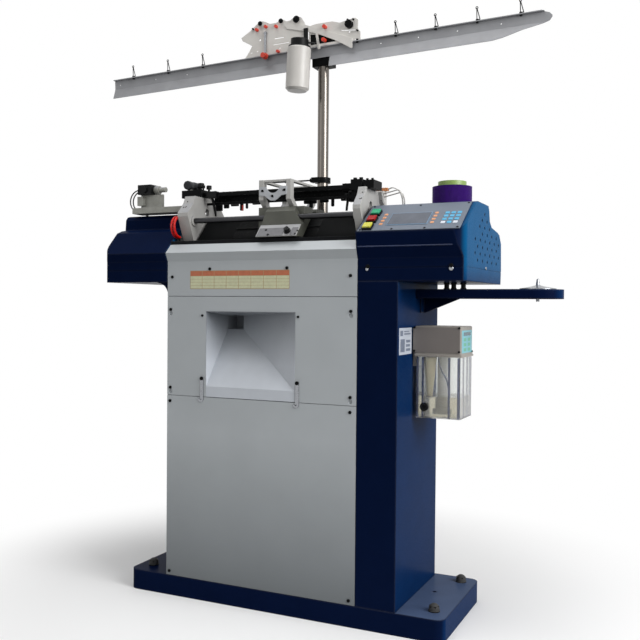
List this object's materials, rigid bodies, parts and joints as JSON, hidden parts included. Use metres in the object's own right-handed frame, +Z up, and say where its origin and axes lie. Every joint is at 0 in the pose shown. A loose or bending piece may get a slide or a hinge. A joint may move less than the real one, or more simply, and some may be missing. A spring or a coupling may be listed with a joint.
{
  "type": "glove knitting machine",
  "caption": "Free-standing automatic glove knitting machine: pedestal on a plinth, V-bed needle head with sliding carriage, control console, yarn stand and lubricator.",
  "frame": {"origin": "middle of the plinth's underside, on the floor", "axes": "+X along the needle beds towards the control console, +Y from the front to the back, +Z up"},
  "size_m": [1.7096, 0.4615, 1.9612],
  "materials": {
    "navy_paint": "textured navy powder coat",
    "white_paint": "satin light grey powder coat",
    "black_steel": "black oxide, oiled",
    "bright_steel": "bright",
    "dark_cast": "painted dark casting",
    "bed_steel": "ground dark steel",
    "cast_aluminium": "fine cast, light grey",
    "console_grey": "satin film over sheet",
    "display_glass": "glossy, dark when off",
    "key_plastic": "printed membrane keys",
    "black_plastic": "moulded",
    "white_plastic": "moulded",
    "beige_plastic": "moulded warm grey",
    "clear_plastic": "clear moulded tank",
    "milky_plastic": "translucent",
    "green_plastic": "moulded",
    "red_plastic": "moulded",
    "yellow_plastic": "moulded",
    "pole_chrome": "chrome plated tube",
    "beam_aluminium": "folded sheet, grey",
    "black_rubber": "moulded",
    "red_rubber": "extruded tube",
    "purple_yarn": "cross-wound yarn"
  },
  "bodies": {
    "frame": {"base_plinth": "navy_paint", "levelling_bolts": "black_steel", "pedestal_shell": "navy_paint", "rear_panel": "navy_paint", "upper_front_cover": "white_paint", "middle_front_panel": "white_paint", "lower_front_panel": "white_paint", "panel_screws": "bright_steel", "chute_funnel": "white_paint", "bed_table": "dark_cast", "left_wing_cover": "navy_paint", "right_wing_cover": "navy_paint", "console_panel": "console_grey", "console_display": "display_glass", "keypad_keys": "key_plastic", "button_housings": "black_plastic", "left_end_bracket": "cast_aluminium", "right_end_bracket": "cast_aluminium", "guide_rods": "bright_steel", "front_needle_bed": "bed_steel", "rear_needle_bed": "bed_steel", "needles": "bright_steel", "yarn_rails": "black_steel", "rail_end_blocks": "black_steel", "yarn_pole": "pole_chrome", "pole_clamps": "black_steel", "yarn_beam": "beam_aluminium", "yarn_guides": "black_steel", "stand_plates": "white_paint", "tension_units": "black_steel", "tension_knobs": "red_plastic", "yarn_bottle": "milky_plastic", "bottle_cap": "black_plastic", "feeder_motor": "black_plastic", "feeder_bracket": "cast_aluminium", "cable_loops": "black_rubber", "red_hoses": "red_rubber", "signal_wiring": "white_plastic", "lubricator_body": "beige_plastic", "lubricator_tank": "clear_plastic", "lubricator_pump": "white_plastic", "yarn_tray": "navy_paint", "tray_fittings": "bright_steel", "yarn_tube": "green_plastic", "yarn_package": "purple_yarn", "drive_belt": "black_rubber"},
    "carriage": {"carriage_arch": "cast_aluminium", "carriage_cam_blocks": "bed_steel", "carriage_yoke": "bright_steel"},
    "knob": {"stitch_knob": "black_plastic"},
    "carrier_left": {"yarn_carrier_left": "black_steel"},
    "carrier_right": {"yarn_carrier_right": "bed_steel"},
    "button_green": {"green_button": "green_plastic"},
    "button_red": {"red_button": "red_plastic"},
    "button_yellow": {"yellow_button": "yellow_plastic"},
    "hook_left": {"bag_hook_left": "bright_steel"},
    "hook_right": {"bag_hook_right": "bright_steel"},
    "sensor": {"sensing_arm": "white_plastic"},
    "pulley_driven": {"drive_pulley": "bright_steel"},
    "pulley_idle": {"idler_pulley": "bright_steel"}
  },
  "joints": [
    {"name": "carriage_slide", "type": "slide", "parent": "frame", "child": "carriage", "axis": [1, 0, 0], "range_m": [-0.225, 0.165]},
    {"name": "knob_turn", "type": "hinge", "parent": "carriage", "child": "knob", "pos_m": [0.034, -0.18982, 1.18825], "axis": [0, -0.7363, 0.6766], "range_deg": [-150, 150]},
    {"name": "carrier_left_slide", "type": "slide", "parent": "frame", "child": "carrier_left", "axis": [1, 0, 0], "range_m": [-0.012, 0.46]},
    {"name": "carrier_right_slide", "type": "slide", "parent": "frame", "child": "carrier_right", "axis": [1, 0, 0], "range_m": [-0.46, 0.048]},
    {"name": "green_press", "type": "slide", "parent": "frame", "child": "button_green", "axis": [0, -0.5589, 0.8292], "range_m": [-0.003, 0], "stiffness_N_per_m": 400, "springref_m": 0.003},
    {"name": "red_press", "type": "slide", "parent": "frame", "child": "button_red", "axis": [0, -0.5589, 0.8292], "range_m": [-0.003, 0], "stiffness_N_per_m": 400, "springref_m": 0.003},
    {"name": "yellow_press", "type": "slide", "parent": "frame", "child": "button_yellow", "axis": [0, -0.5589, 0.8292], "range_m": [-0.003, 0], "stiffness_N_per_m": 400, "springref_m": 0.003},
    {"name": "hook_left_swing", "type": "hinge", "parent": "frame", "child": "hook_left", "pos_m": [-0.2645, -0.20555, 0.722], "axis": [0, 1, 0], "range_deg": [-90, 90]},
    {"name": "hook_right_swing", "type": "hinge", "parent": "frame", "child": "hook_right", "pos_m": [0.0795, -0.20555, 0.722], "axis": [0, 1, 0], "range_deg": [-90, 90]},
    {"name": "sensor_swing", "type": "hinge", "parent": "frame", "child": "sensor", "pos_m": [-0.2098, 0.103, 1.91656], "axis": [0, 1, 0], "range_deg": [-18, 18]},
    {"name": "drive_pulley_turn", "type": "hinge", "parent": "frame", "child": "pulley_driven", "pos_m": [0.24, 0.092, 1.195], "axis": [0, 0, 1], "continuous": true},
    {"name": "idler_pulley_turn", "type": "hinge", "parent": "frame", "child": "pulley_idle", "pos_m": [-0.365, 0.092, 1.195], "axis": [0, 0, 1], "continuous": true}
  ],
  "couplings": [
    {"joint": "drive_pulley_turn", "follows": "carriage_slide", "rad_per_m": 52.493},
    {"joint": "idler_pulley_turn", "follows": "carriage_slide", "rad_per_m": 52.493}
  ]
}
